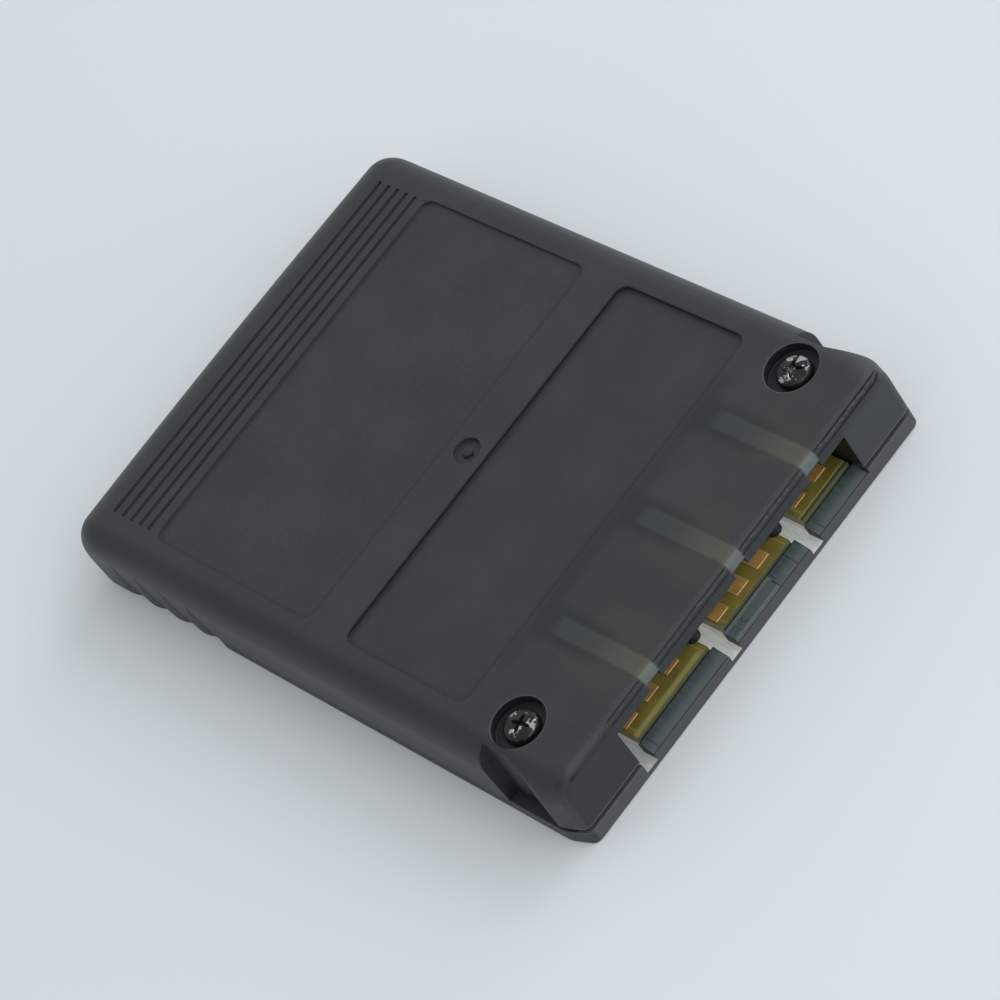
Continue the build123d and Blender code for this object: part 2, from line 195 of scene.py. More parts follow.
class CardScrewSettings(PropertyGroup):
    """Pan-head case screws."""

    head_radius: a_length("Head radius", "Radius of the screw head", screw_head_radius * MM)
    shank_radius: a_length("Shank radius", "Radius of the plain shank", 0.8 * MM)
    head_height: a_length("Head height", "Height of the head above its seat", 0.95 * MM)
    crown: a_length("Crown", "How far the head's top falls from its middle to its shoulder", 0.16 * MM)
    recess_length: a_length("Recess length", "Length of one bar of the cross recess", 1.9 * MM)
    recess_width: a_length("Recess width", "Width of one bar of the cross recess", 0.5 * MM)
    recess_depth: a_length("Recess depth", "Depth of the cross recess", 0.55 * MM)
    right_turn: an_angle("Right turn", "Turn of the right screw", 0.5)
    left_turn: an_angle("Left turn", "Turn of the left screw", 0.2)
    coat_colour: a_colour("Black finish", "Black coating of the screws", (0.009, 0.009, 0.01))
    bare_colour: a_colour("Bare metal", "Metal where the coating is rubbed away", (0.62, 0.62, 0.63))


class CardMouldSettings(PropertyGroup):
    """Marks left by the mould."""

    flash_right: a_length("Flash right end", "Where the edge flash ends on the right", 19.2 * MM)
    flash_left: a_length("Flash left end", "Where the edge flash ends on the left", -14.2 * MM)
    flash_width: a_length("Flash width", "Width of the ragged ridge at the front edge", 0.36 * MM)
    flash_height: a_length("Flash height", "Greatest height of the ragged ridge", 0.06 * MM)
    flash_angle: an_angle("Flash angle", "Where the ridge lies on the rounded edge", 1.18)
    edge_radius: a_length("Edge radius", "Radius of the rounded front edge", front_edge_radius * MM)
    stub_radius: a_length("Stub radius", "Radius of the torn gate stub", 0.46 * MM)
    stub_height: a_length("Stub height", "Height of the torn gate stub", 0.3 * MM)
    gate_setback: a_length("Gate setback", "Distance of the gate mark from the contact end", 27.45 * MM)
    gate_depth: a_length("Gate depth", "Depth of the gate dimple", 0.35 * MM)


class CardStageSettings(PropertyGroup):
    """Floor, light and camera."""

    floor_colour: a_colour("Floor", "Pale floor under the card", (0.78, 0.83, 0.87))
    sky_strength: FloatProperty(
        name="Sky strength", description="Even light from all round", default=0.55, min=0.0
    )
    key_power: a_power("Key power", "Soft lamp at the contact end", 3.2)
    fill_power: a_power("Fill power", "Soft lamp at the right side", 1.4)
    lens: FloatProperty(name="Lens", description="Focal length on a 36 mm sensor", default=158.677)
    roll: an_angle("Roll", "Turn of the camera", math.radians(37.764))
    camera_place: a_place("Camera", "Place of the camera", (0.226892, -0.079414, 0.249266))
    camera_aim: a_place("Aim", "Point that the camera looks at", (0.000441, 0.000129, 0.0))


class CardSettings(PropertyGroup):
    """All the settings of the card's dressing."""

    plastic: PointerProperty(type=CardPlasticSettings)
    contacts: PointerProperty(type=CardContactSettings)
    screws: PointerProperty(type=CardScrewSettings)
    mould: PointerProperty(type=CardMouldSettings)
    stage: PointerProperty(type=CardStageSettings)


class Graph:
    """A node tree with short calls that add nodes and join their sockets."""

    def __init__(self, tree):
        self.tree = tree

    def feed(self, socket, value):
        """Links a socket to the value if it is a socket too, and otherwise sets the value on it."""
        if isinstance(value, bpy.types.NodeSocket):
            self.tree.links.new(value, socket)
        elif socket.type == "RGBA":
            socket.default_value = (*value, 1.0)
        else:
            socket.default_value = value

    def add(self, kind, inputs=None, **settings):
        """A new node with the given settings and inputs."""
        node = self.tree.nodes.new(kind)
        for key, value in settings.items():
            setattr(node, key, value)
        for key, value in (inputs or {}).items():
            self.feed(node.inputs[key], value)
        return node

    def maths(self, operation, *values):
        """The result of one maths node."""
        node = self.add("ShaderNodeMath", operation=operation)
        for socket, value in zip(node.inputs, values):
            self.feed(socket, value)
        return node.outputs[0]

    def minus(self, first, second):
        """The first value less the second."""
        return self.maths("SUBTRACT", first, second)

    def without(self, mask):
        """The opposite of a mask."""
        return self.minus(1.0, mask)

    def absolute(self, value):
        """The value without its sign."""
        return self.maths("ABSOLUTE", value)

    def product(self, *values):
        """All the values multiplied together."""
        result = values[0]
        for value in values[1:]:
            result = self.maths("MULTIPLY", result, value)
        return result

    def greatest(self, *values):
        """The greatest of the values."""
        result = values[0]
        for value in values[1:]:
            result = self.maths("MAXIMUM", result, value)
        return result

    def blend(self, factor, first, second):
        """Two colours mixed by a factor."""
        node = self.add("ShaderNodeMix", data_type="RGBA")
        self.feed(node.inputs[0], factor)
        self.feed(node.inputs[6], first)
        self.feed(node.inputs[7], second)
        return node.outputs[2]

    def ramp(self, value, low, high, start=0.0, end=1.0):
        """The value mapped smoothly from one range to another and held at its ends."""
        node = self.add("ShaderNodeMapRange", interpolation_type="SMOOTHSTEP")
        for key, number in (("From Min", low), ("From Max", high), ("To Min", start), ("To Max", end)):
            self.feed(node.inputs[key], number)
        self.feed(node.inputs["Value"], value)
        return node.outputs["Result"]

    def fall(self, value, low, high):
        """1 up to the low value, 0 from the high one and smooth between them."""
        return self.ramp(value, low, high, 1.0, 0.0)

    def stretched(self, place, factors):
        """The place with each of its axes multiplied by its own factor."""
        node = self.add("ShaderNodeVectorMath", operation="MULTIPLY")
        self.feed(node.inputs[0], place)
        self.feed(node.inputs[1], factors)
        return node.outputs[0]

    def noise(self, place, scale, detail=2.0, roughness=0.5):
        """A noise value between 0 and 1."""
        inputs = {"Vector": place, "Scale": scale, "Detail": detail, "Roughness": roughness}
        return self.add("ShaderNodeTexNoise", inputs).outputs["Fac"]

    def group(self, tree, inputs):
        """A placed node group with its inputs."""
        return self.add("ShaderNodeGroup", inputs, node_tree=tree)


def group_tree(name, inputs, outputs):
    """A new shader node group with named sockets, and its two end nodes."""
    tree = bpy.data.node_groups.new(name, "ShaderNodeTree")
    for label, kind in inputs:
        tree.interface.new_socket(name=label, in_out="INPUT", socket_type=kind)
    for label, kind in outputs:
        tree.interface.new_socket(name=label, in_out="OUTPUT", socket_type=kind)
    graph = Graph(tree)
    given = graph.add("NodeGroupInput").outputs
    results = graph.add("NodeGroupOutput").inputs
    return graph, given, results


def soft_band_group():
    """Mask that is 1 where Value lies between Low and High, with ends as wide as Soft."""
    name = "Soft band"
    if name in bpy.data.node_groups:
        return bpy.data.node_groups[name]
    number = "NodeSocketFloat"
    graph, given, results = group_tree(
        name, [("Value", number), ("Low", number), ("High", number), ("Soft", number)], [("Mask", number)]
    )
    half = graph.product(given["Soft"], 0.5)
    masks = []
    for edge, start, end in (("Low", 0.0, 1.0), ("High", 1.0, 0.0)):
        before = graph.minus(given[edge], half)
        after = graph.maths("ADD", given[edge], half)
        masks.append(graph.ramp(given["Value"], before, after, start, end))
    graph.feed(results["Mask"], graph.product(*masks))
    return graph.tree


def moulded_grain_group():
    """Cloudy mottle, fine grain and surface height of a matt moulded skin, from a place in millimetres."""
    name = "Moulded grain"
    if name in bpy.data.node_groups:
        return bpy.data.node_groups[name]
    number = "NodeSocketFloat"
    graph, given, results = group_tree(
        name,
        [("Place", "NodeSocketVector"), ("Cloud Scale", number), ("Grain Scale", number)],
        [("Cloud", number), ("Grain", number), ("Height", number)],
    )
    cloud = graph.noise(given["Place"], given["Cloud Scale"], 3.0, 0.55)
    grain = graph.noise(given["Place"], given["Grain Scale"], 2.0, 0.6)
    coarse = graph.noise(given["Place"], graph.product(given["Grain Scale"], 0.3), 1.0)
    graph.feed(results["Cloud"], graph.ramp(cloud, 0.3, 0.7))
    graph.feed(results["Grain"], graph.ramp(grain, 0.25, 0.75))
    graph.feed(results["Height"], graph.maths("ADD", grain, graph.product(coarse, 0.5)))
    return graph.tree


class Finish(Graph):
    """A material: a Principled BSDF with its plain values, and Object coordinates in millimetres."""

    def __init__(self, name, **values):
        self.material = bpy.data.materials.new(name)
        self.material.use_nodes = True
        super().__init__(self.material.node_tree)
        self.tree.nodes.clear()
        self.surface = self.add("ShaderNodeBsdfPrincipled")
        for key, value in values.items():
            socket = "IOR" if key == "ior" else key.replace("_", " ").title()
            self.surface.inputs[socket].default_value = value
        output = self.add("ShaderNodeOutputMaterial")
        self.feed(output.inputs["Surface"], self.surface.outputs["BSDF"])
        coordinates = self.add("ShaderNodeTexCoord").outputs["Object"]
        self.place = self.stretched(coordinates, (PER_MM, PER_MM, PER_MM))
        self.x, self.y, self.z = self.add("ShaderNodeSeparateXYZ", {"Vector": self.place}).outputs
        self.base = None

    def band(self, value, low, high, soft):
        """The soft band mask of a value."""
        inputs = {"Value": value, "Low": low, "High": high, "Soft": soft}
        return self.group(soft_band_group(), inputs).outputs["Mask"]

    def grain(self, cloud_scale, grain_scale):
        """Cloud, grain and height of the moulded skin."""
        inputs = {"Place": self.place, "Cloud Scale": cloud_scale, "Grain Scale": grain_scale}
        return self.group(moulded_grain_group(), inputs).outputs

    def tint(self, tone, *masks):
        """Lays a colour over the base colour, as far as the product of the masks."""
        self.base = self.blend(self.product(*masks), self.base, tone)

    def bands(self, centres, low, high, soft):
        """Mask of soft bands across the card, each from low to high beside its centre."""
        return self.greatest(*(self.band(self.y, centre + low, centre + high, soft) for centre in centres))

    def paint(self, value):
        """Sets the base colour."""
        self.feed(self.surface.inputs["Base Color"], value)

    def roughen(self, value):
        """Sets the roughness."""
        self.feed(self.surface.inputs["Roughness"], value)

    def relief(self, height, depth, edge_softness):
        """Turns a height into a bump of the given depth, over edges softened by a small radius."""
        bevel = self.add("ShaderNodeBevel", {"Radius": edge_softness}, samples=6)
        inputs = {"Strength": 1.0, "Distance": depth, "Height": height, "Normal": bevel.outputs["Normal"]}
        bump = self.add("ShaderNodeBump", inputs)
        self.feed(self.surface.inputs["Normal"], bump.outputs["Normal"])


def dress(node_names, material):
    """Puts a material on CAD nodes."""
    for name in node_names:
        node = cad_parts[name]
        node.data.materials.clear()
        node.data.materials.append(material)


def grid_faces(rows, columns, wrap):
    """Quads of a grid of points numbered row by row; with wrap the last column joins the first."""
    steps = columns if wrap else columns - 1
    row, column = np.meshgrid(np.arange(rows - 1), np.arange(steps), indexing="ij")
    following = (column + 1) % columns
    near = row * columns
    far = near + columns
    quads = np.stack((near + column, near + following, far + following, far + column), axis=-1)
    return quads.reshape(-1, 4)


def mesh_piece(name, points, faces, material):
    """A smooth mesh piece at the origin that rides on the card, made from point and face arrays."""
    mesh = bpy.data.meshes.new(name)
    mesh.from_pydata(points.reshape(-1, 3), [], faces)
    mesh.validate()
    mesh.polygons.foreach_set("use_smooth", np.ones(len(mesh.polygons), dtype=bool))
    mesh.materials.append(material)
    mesh.update()
    piece = bpy.data.objects.new(name, mesh)
    bpy.context.scene.collection.objects.link(piece)
    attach(piece, "root")
    return piece


def smooth_step(low, high, value):
    """0 below low, 1 above high and a smooth rise between them."""
    t = np.clip((value - low) / (high - low), 0.0, 1.0)
    return t * t * (3 - 2 * t)


def ragged(position, seed, waves):
    """A ragged line between about -1 and 1: sines of rising frequency with phases fixed by the seed."""
    generator = np.random.default_rng(seed)
    phases = generator.uniform(0, TURN, len(waves))
    total = sum(np.sin(TURN * wave * position + phase) for wave, phase in zip(waves, phases))
    return total / math.sqrt(len(waves))


def shell_grain(finish, settings):
    """Lays the smoked plastic's mottled base colour, and gives the matt skin's roughness and height."""
    cloud, grain, height = finish.grain(0.16, 9.0)
    base = finish.blend(cloud, settings.deep_colour, settings.pale_colour)
    speck = finish.blend(grain, (0.0, 0.0, 0.0), (0.08, 0.085, 0.088))
    finish.base = finish.blend(0.22, base, speck)
    roughness = finish.ramp(grain, 0.0, 1.0, settings.roughness - 0.06, settings.roughness + 0.06)
    return roughness, height


def setback(finish, high):
    """Distance back from the front of a piece, whose high corner is given, in millimetres."""
    return finish.minus(high[0] * PER_MM, finish.x)


def roof_strips(finish, settings, back, bend, on_top):
    """The thin strips of roof over the pad groups, painted lighter as light showing through them, with
    painted shade as their dark borders, and the mask that they cover.
    """
    strips = []
    halos = []
    wander = finish.product(finish.noise(finish.place, 0.6), 0.15)
    for centre in strip_centres:
        across = finish.maths("ADD", finish.minus(finish.y, centre + 0.075), wander)
        strips.append(finish.band(across, -0.8, 0.8, 0.3))
        halos.append(finish.band(across, -1.5, 1.5, 1.2))
    # Painted shade round each strip and behind its inner end
    halo_along = finish.band(back, 4.5, 10.8, 2.6)
    halo = finish.product(finish.greatest(*halos), halo_along, on_top, 0.45)
    finish.tint(settings.shade_and_scratch_colour, halo)
    # Painted light showing through the thin roof, with a bluish painted highlight on each strip's rounded tip
    along = finish.fall(back, 8.7, 10.0)
    mask = finish.product(finish.greatest(*strips), along, on_top)
    near_end = finish.fall(back, 1.0, 6.8)
    tone = finish.blend(near_end, settings.strip_rear_colour, settings.strip_front_colour)
    tone = finish.blend(finish.ramp(bend, 0.5, 0.8), tone, settings.strip_tip_colour)
    streaks = finish.noise(finish.stretched(finish.place, (0.3, 3.0, 1.0)), 1.5)
    streak = finish.ramp(streaks, 0.2, 0.8, 0.78, 1.0)
    finish.tint(tone, mask, streak)
    return mask


def distance_from(finish, first, second):
    """The length of a step from its two parts."""
    squares = [finish.product(part, part) for part in (first, second)]
    return finish.maths("SQRT", finish.maths("ADD", *squares))


def screw_radius(finish, back):
    """Distance from the axis of the nearer screw, in millimetres."""
    out = finish.minus(finish.absolute(finish.y), screw_centre_y)
    return distance_from(finish, finish.minus(back, screw_setback), out)


def pitch_place(finish, back, start, pitch):
    """Place within one step of a pattern that repeats along the card, in millimetres."""
    turns = finish.maths("DIVIDE", finish.minus(back, start), pitch)
    return finish.product(finish.maths("FRACT", turns), pitch)


def outline_mask(finish, back, near, far):
    """A thin line along the edge of a sunk round-cornered panel, from the setbacks of its two ends."""
    corner = panel_corner
    offset = finish.absolute(finish.minus(back, (near + far) / 2))
    out = finish.absolute(finish.y)
    over_length = finish.greatest(finish.minus(offset, (far - near) / 2 - corner), 0.0)
    over_width = finish.greatest(finish.minus(out, panel_half_width - corner), 0.0)
    from_corner = distance_from(finish, over_length, over_width)
    return finish.band(from_corner, corner - 0.06, corner + 0.09, 0.09)


def top_lines(finish, back, down):
    """Painted shade as dark lines in the top face: the grip grooves and the outlines of the two panels."""
    first_line = groove_setback - 0.3
    place = pitch_place(finish, back, first_line, groove_pitch)
    # Painted shade in the grooves, varied in strength along them
    groove_shade_noise = finish.noise(finish.stretched(finish.place, (1.0, 0.35, 1.0)), 1.1)
    groove_shade_strength = finish.ramp(groove_shade_noise, 0.3, 0.6, 0.1, 0.34)
    zone_along = finish.band(back, first_line, groove_end, 0.05)
    zone = finish.product(zone_along, finish.band(finish.y, -groove_half_length, groove_half_length, 0.6))
    grooves = finish.product(finish.band(place, 0.1, 0.29, 0.1), zone, groove_shade_strength)
    deep_edge = finish.ramp(back, front_panel_far - 0.25, front_panel_far - 0.05, 0.6, 0.9)
    front_panel = outline_mask(finish, back, front_panel_near, front_panel_far)
    front_panel = finish.product(front_panel, deep_edge)
    rear_panel = outline_mask(finish, back, rear_panel_near, rear_panel_far)
    rear_panel = finish.product(rear_panel, 0.45)
    shallow = finish.fall(down, 0.4, 0.5)
    return finish.product(finish.greatest(grooves, front_panel, rear_panel), shallow)


def side_lines(finish, settings, back):
    """Painted shade and painted highlights on the long sides: a darker shoulder, the seam line, the grip
    lobes' creases and the notches.
    """
    crease = settings.shade_and_scratch_colour
    edge = settings.edge_colour
    out = finish.absolute(finish.y)
    on_side = finish.ramp(out, 19.9, 20.2)
    shoulder = finish.maths("ARCTAN2", finish.minus(out, shoulder_y), finish.minus(finish.z, shoulder_z))
    near_side = finish.fall(finish.y, -18.6, -18.0)
    # Painted shade on the shoulder of the -Y side
    shade = finish.product(finish.band(shoulder, 0.25, 0.85, 0.35), 0.3)
    lower_shade = finish.product(finish.band(shoulder, 0.85, 1.7, 0.4), 0.2)
    finish.tint(crease, finish.maths("ADD", shade, lower_shade), near_side)
    plain = finish.band(back, seam_near, seam_far, 0.2)
    # Painted highlight in a pale band above the seam
    over_seam = finish.product(finish.band(finish.z, 1.8, 2.3, 0.3), on_side, plain, 0.16)
    finish.tint(edge, over_seam)
    # Painted shade in the seam line and its recess
    seam = finish.product(finish.band(finish.z, 1.3, 1.64, 0.16), on_side, plain, 0.75)
    recess = finish.product(finish.band(finish.z, 0.7, 0.94, 0.03), on_side, plain)
    finish.tint(crease, finish.greatest(seam, recess))
    # Painted shade beside each lobe crease and a painted highlight along it
    place = finish.minus(pitch_place(finish, back, lobe_setback, lobe_pitch), lobe_pitch / 2)
    zone_along = finish.band(back, lobe_setback, lobe_setback + 4 * lobe_pitch, 0.1)
    zone = finish.product(zone_along, on_side, finish.fall(finish.z, 3.6, 5.6))
    finish.tint(crease, finish.band(place, -0.6, -0.04, 0.4), zone, 0.45)
    finish.tint(edge, finish.band(place, -0.05, 0.05, 0.06), zone, 0.8)
    # Painted shade in the notches
    notch_along = finish.band(back, 4.6, 8.06, 0.2)
    below_top = finish.fall(finish.z, 5.0, 6.4)
    notch = finish.product(notch_along, finish.ramp(out, 19.75, 19.9), below_top, 0.75)
    finish.tint(crease, notch)


def screw_wells(finish, settings, back, down):
    """Painted shade on the walls of the screw wells and their floors, and a painted highlight as the pale
    line round each rim.
    """
    # Painted shade inside each well and a painted highlight on its rim
    radius = screw_radius(finish, back)
    sunk = finish.ramp(down, 0.06, 0.16)
    floor = finish.ramp(down, 0.9, 0.96, 0.85, 0.45)
    within = finish.fall(radius, screw_well_radius, screw_well_radius + 0.04)
    finish.tint(settings.shade_and_scratch_colour, within, sunk, floor)
    rim = finish.band(radius, screw_well_radius - 0.04, screw_well_radius + 0.06, 0.05)
    finish.tint(settings.edge_colour, rim, finish.fall(down, 0.02, 0.1), 0.45)


def front_creases(finish, bend, strip):
    """Painted shade as dark creases above and below the front edge's ridge, strongest at the right, soft at
    the left.
    """
    clear_of_strips = finish.without(strip)
    strength = finish.ramp(finish.y, 10.0, 16.0, 0.8, 0.95)
    at_left = finish.fall(finish.y, -14.6, -13.6)
    not_left = finish.without(at_left)
    reach = finish.fall(finish.y, 19.5, 20.3)
    upper = finish.product(finish.band(bend, 0.74, 1.02, 0.18), strength, not_left)
    lower = finish.product(finish.band(bend, 1.36, 1.76, 0.2), strength, not_left)
    left_end = finish.ramp(finish.y, -19.4, -18.7)
    blob = finish.ramp(finish.y, -18.9, -17.6, 0.9, 0.6)
    soft = finish.product(finish.band(bend, 1.3, 1.95, 0.6), at_left, left_end, blob)
    return finish.product(finish.greatest(upper, lower, soft), clear_of_strips, reach)


def upper_shell_material(settings):
    """Smoked plastic with thin roof strips and a warm tint over the pads, both painted light showing through
    the roof, and dark creases and a dark bay, both painted shade.
    """
    finish = Finish("upper shell plastic", ior=1.46)
    back = setback(finish, case_high)
    down = finish.minus(case_high[2] * PER_MM, finish.z)
    on_top = finish.fall(down, 1.0, 1.3)
    ahead = finish.minus(front_edge_radius, back)
    bend = finish.maths("ARCTAN2", ahead, finish.minus(front_edge_radius, down))
    # Near-black of the painted shade
    crease = settings.shade_and_scratch_colour
    roughness, height = shell_grain(finish, settings)

    # Painted light: warm tint as if the lit pads showed through the roof
    groups = [finish.band(finish.y, low, high, 2.4) for low, high in pad_group_ends]
    over_pads = finish.product(finish.greatest(*groups), finish.band(back, 1.2, 6.4, 3.6))
    blotch = finish.ramp(finish.noise(finish.place, 0.35, 1.0), 0.3, 0.7, 0.35, 1.0)
    finish.tint(settings.pad_glow_colour, over_pads, blotch, on_top)
    # Painted shade in a band behind the bay, where the roof's rear wall is thick
    over_bay = finish.band(finish.y, bay_left, bay_right, 1.6)
    behind_bay = finish.product(finish.band(back, 10.4, 11.9, 1.4), over_bay, on_top, 0.3)
    finish.tint(crease, behind_bay)
    strip = roof_strips(finish, settings, back, bend, on_top)
    # Painted shade in the grooves and panel outlines
    finish.tint(crease, top_lines(finish, back, down))
    side_lines(finish, settings, back)
    screw_wells(finish, settings, back, down)

    # Painted shade that dims the highlight along the rounded front edge
    edge_shade_strength = finish.ramp(finish.y, -19.6, -13.6, 0.3, 0.5)
    turning = finish.product(finish.band(bend, 0.55, 1.5, 0.55), finish.without(strip), edge_shade_strength)
    finish.tint(crease, turning)
    creases = front_creases(finish, bend, strip)
    in_bay = finish.band(finish.y, bay_left, bay_right + 0.05, 0.1)
    # Painted shade on the front faces
    on_front = finish.product(finish.fall(back, 0.03, 0.08), finish.ramp(down, 0.7, 0.9))
    at_right = finish.ramp(finish.y, 14.2, 14.6)
    right_shade = finish.product(finish.ramp(down, 0.9, 2.0, 0.65, 0.05), at_right)
    left_shade = finish.product(finish.without(at_right), 0.62)
    face_shade = finish.maths("ADD", right_shade, left_shade)
    finish.tint(crease, on_front, face_shade, finish.without(strip))
    # Painted shade inside the bay and in the front edge's creases
    inside = finish.product(in_bay, finish.ramp(down, 1.84, 1.9), finish.band(back, 0.06, 11.5, 0.08), 0.9)
    finish.tint(crease, finish.greatest(inside, creases))
    # Painted highlight along the lower edge of the corner blocks
    block_edge = finish.fall(back, 0.9, 1.2)
    under_edge = finish.product(finish.fall(finish.z, 2.06, 2.16), block_edge, 0.8)
    finish.tint(settings.edge_colour, under_edge)
    finish.paint(finish.base)
    finish.roughen(finish.greatest(roughness, creases, turning))
    finish.relief(height, 0.012 * MM, settings.edge_softness)
    return finish.material


def ramp_marks(finish, back):
    """Thin dark lines on the ramps: painted shade at the steps, the bar's upper end and the lip's line, and
    scratches.
    """
    step_places = (9.02, 5.6, -11.85)
    steps = finish.bands(step_places, -0.035, 0.035, 0.05)
    steps_along = finish.band(back, 0.14, 1.3, 0.1)
    bar_end = finish.product(finish.band(finish.y, 3.34, 3.46, 0.06), finish.band(back, 0.2, 1.0, 0.1))
    lip_line = finish.band(back, 0.06, 0.15, 0.05)
    cells = {"Vector": finish.place, "Scale": 1.9}
    scratch = finish.add("ShaderNodeTexVoronoi", cells, feature="DISTANCE_TO_EDGE")
    thin = finish.fall(scratch.outputs["Distance"], 0.02, 0.05)
    scratched = finish.product(finish.band(finish.y, -1.7, -0.1, 0.3), finish.band(back, 0.3, 1.2, 0.2))
    scratches = finish.product(thin, scratched)
    over_lip = finish.ramp(finish.z, 0.99, 1.03)
    step_lines = finish.product(steps, steps_along)
    return finish.product(finish.greatest(step_lines, bar_end, lip_line, scratches), over_lip)


def lower_shell_material(settings):
    """Smoked plastic with green-grey ramps darkened towards the board as painted shade, pale slot floors that
    glow as painted light coming up through them, and a paler front.
    """
    finish = Finish("lower shell plastic", ior=1.46, emission_strength=settings.slot_glow)
    back = setback(finish, floor_high)
    roughness, height = shell_grain(finish, settings)
    in_bay = finish.band(finish.y, bay_left + 0.05, bay_right + 0.02, 0.06)
    trough = finish.product(in_bay, finish.fall(back, 8.0, 8.2))
    shade = finish.ramp(finish.noise(finish.stretched(finish.place, (0.6, 2.5, 1.0)), 1.2, 3.0), 0.3, 0.7)
    deep = finish.blend(shade, settings.ramp_deep_colour, settings.ramp_colour)
    # Painted shade: darker towards the board, paler towards the lip
    ramp_tone = finish.blend(finish.fall(back, 0.3, 1.3), deep, settings.ramp_pale_colour)
    on_bar = finish.product(finish.ramp(finish.z, 1.38, 1.46), finish.band(finish.y, -2.2, 3.5, 0.06))
    ramp_tone = finish.blend(on_bar, ramp_tone, [1.3 * part for part in settings.ramp_pale_colour])
    finish.tint(ramp_tone, trough)
    # Painted shade lines and scratches on the ramps
    marks = finish.product(ramp_marks(finish, back), trough, 0.8)
    finish.tint(settings.shade_and_scratch_colour, marks)

    rear_half = finish.ramp(back, 1.42, 1.5)
    wide = finish.product(finish.bands(slot_centres, -0.95, 0.95, 0.08), rear_half)
    slots = finish.greatest(finish.bands(slot_centres, -0.63, 0.63, 0.02), wide)
    # Painted shade on the slot walls
    walls = finish.bands(slot_centres, 0.56, 0.66, 0.04)
    finish.tint(settings.shade_and_scratch_colour, walls, finish.band(finish.z, 0.6, 1.56, 0.1), trough, 0.95)
    # Painted light: pale, glowing slot floors
    low = finish.fall(finish.z, 0.56, 0.62)
    low = finish.greatest(low, finish.product(finish.fall(finish.z, 0.84, 0.98), rear_half))
    above_base = finish.product(finish.ramp(finish.z, 0.4, 0.48), finish.ramp(back, 0.01, 0.03))
    streaks = finish.noise(finish.stretched(finish.place, (0.35, 6.0, 1.0)), 2.0, 3.0)
    streak = finish.ramp(streaks, 0.3, 0.7)
    slot_light_tone = finish.blend(streak, settings.slot_light_colour, (0.52, 0.55, 0.54))
    dimmer = finish.ramp(finish.y, -12.6, -12.0, 0.72, 1.0)
    pale = finish.product(slots, low, above_base, trough, dimmer)
    finish.tint(slot_light_tone, pale)
    glow = finish.blend(pale, (0.0, 0.0, 0.0), slot_light_tone)
    finish.feed(finish.surface.inputs["Emission Color"], glow)

    front_face = finish.fall(back, 0.01, 0.06)
    finish.tint(settings.lip_colour, front_face)
    # Painted highlight along the lower edge of the front shadow gap
    at_front = finish.product(finish.fall(back, 1.0, 1.2), finish.without(in_bay))
    gap_edge = finish.product(finish.band(finish.z, 1.4, 1.54, 0.06), at_front, 0.6)
    finish.tint(settings.edge_colour, gap_edge)
    finish.paint(finish.base)
    finish.roughen(roughness)
    finish.relief(height, 0.012 * MM, settings.edge_softness)
    return finish.material


def board_material(settings):
    """Olive lacquer with fine mottle, a paler line inside the tongues' edges as a painted highlight, and
    painted shade on the dark cut edge.
    """
    finish = Finish("board lacquer", ior=1.5)
    cloud, grain, height = finish.grain(0.5, 12.0)
    behind = setback(finish, board_high)
    deep = [0.7 * part for part in settings.laminate_colour]
    finish.base = finish.blend(cloud, deep, settings.laminate_colour)
    # Painted highlights along the tongues' edges
    half_gap = 1.38
    tongue_sides = [centre + way * half_gap for centre in slot_centres for way in (1, -1)]
    sides = finish.bands(tongue_sides, -0.08, 0.08, 0.12)
    side = finish.product(sides, finish.fall(behind, 6.5, 7.5), 0.45)
    at_left = finish.fall(finish.y, -4.6, -4.0)
    at_right = finish.ramp(finish.y, 8.0, 8.4)
    left_edge = finish.product(finish.band(behind, 0.05, 0.5, 0.3), at_left, 0.75)
    right_line = finish.product(finish.band(behind, 0.36, 0.5, 0.1), at_right, 0.8)
    edge_lines = finish.greatest(side, left_edge, right_line)
    finish.tint(settings.edge_highlight_colour, edge_lines)
    # Painted shade on the cut front face and on the right tongue's front strip
    right_edge = finish.product(finish.fall(behind, 0.26, 0.34), at_right)
    cut_edge = finish.fall(behind, 0.005, 0.02)
    finish.tint(settings.front_face_shade_colour, finish.greatest(right_edge, cut_edge))
    finish.paint(finish.base)
    finish.roughen(finish.ramp(grain, 0.0, 1.0, 0.3, 0.45))
    finish.relief(height, 0.004 * MM, 0.08 * MM)
    return finish.material


def gold_material(name, tone, roughness):
    """Gold plating with fine rubbed streaks along the card and a little tarnish."""
    finish = Finish(name, metallic=0.3)
    cloud, _, height = finish.grain(0.9, 14.0)
    rubbed = finish.noise(finish.stretched(finish.place, (0.5, 8.0, 1.0)), 2.0)
    tarnish = (0.62 * tone[0], 0.5 * tone[1], 0.45 * tone[2])
    finish.paint(finish.blend(finish.product(cloud, rubbed), tone, tarnish))
    finish.roughen(finish.ramp(rubbed, 0.2, 0.8, roughness - 0.06, roughness + 0.08))
    finish.relief(height, 0.003 * MM, 0.03 * MM)
    return finish.material


def screw_material(settings):
    """Glossy black coating, rubbed to bare metal in patches round the cross recess."""
    finish = Finish("screw black", ior=1.4)
    cloud, grain, height = finish.grain(1.4, 3.5)
    radius = screw_radius(finish, setback(finish, case_high))
    patch = finish.ramp(finish.noise(finish.place, 1.5), 0.55, 0.63)
    rubbed = finish.product(patch, finish.band(radius, 0.25, 1.3, 0.3))
    black = finish.blend(cloud, settings.coat_colour, (0.02, 0.02, 0.021))
    finish.paint(finish.blend(rubbed, black, settings.bare_colour))
    finish.feed(finish.surface.inputs["Metallic"], rubbed)
    finish.roughen(finish.ramp(grain, 0.0, 1.0, 0.16, 0.3))
    finish.relief(height, 0.06 * MM, 0.04 * MM)
    return finish.material


